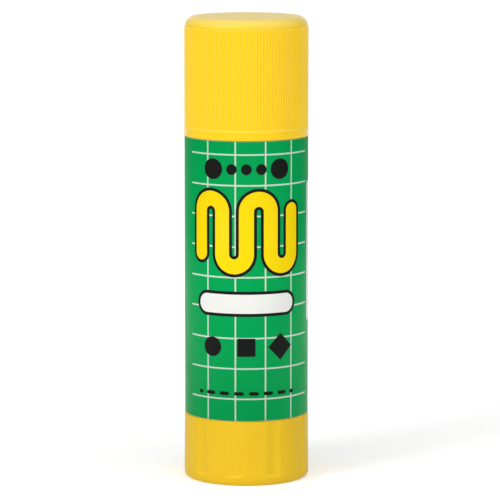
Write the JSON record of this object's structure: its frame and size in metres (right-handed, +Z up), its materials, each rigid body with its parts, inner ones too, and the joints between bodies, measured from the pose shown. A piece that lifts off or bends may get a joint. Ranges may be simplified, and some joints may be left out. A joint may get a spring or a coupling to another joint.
{
  "type": "glue stick",
  "caption": "Round twist-up glue stick with a ribbed pull-off cap, a gridded label and a fluted turning knob that lifts the glue on a screw.",
  "frame": {"origin": "centre of the foot ring of the knob, on the plane that the stick stands on", "axes": "+Z up along the axis of the stick, from the knob to the cap; -Y is the front that the picture shows"},
  "size_m": [0.0302, 0.0302, 0.1122],
  "materials": {
    "yellow_plastic": "moulded polypropylene, satin gloss",
    "white_plastic": "moulded natural polypropylene",
    "printed_film": "printed label film, green with a white grid",
    "glue": "waxy solid glue"
  },
  "bodies": {
    "barrel": {"barrel": "white_plastic", "label": "printed_film"},
    "knob": {"knob": "yellow_plastic", "spindle": "white_plastic"},
    "carrier": {"carrier": "white_plastic", "glue": "glue"},
    "cap": {"cap": "yellow_plastic"}
  },
  "joints": [
    {"name": "knob_turn", "type": "hinge", "parent": "barrel", "child": "knob", "pos_m": [0, 0, 0.0078], "axis": [0, 0, 1], "range_deg": [0, 3210]},
    {"name": "glue_rise", "type": "slide", "parent": "barrel", "child": "carrier", "axis": [0, 0, 1], "range_m": [0, 0.0535]},
    {"name": "cap_lift", "type": "slide", "parent": "carrier", "child": "cap", "axis": [0, 0, 1], "range_m": [0, 0.045]}
  ],
  "couplings": [
    {"joint": "knob_turn", "follows": "glue_rise", "rad_per_m": 1047.2}
  ]
}
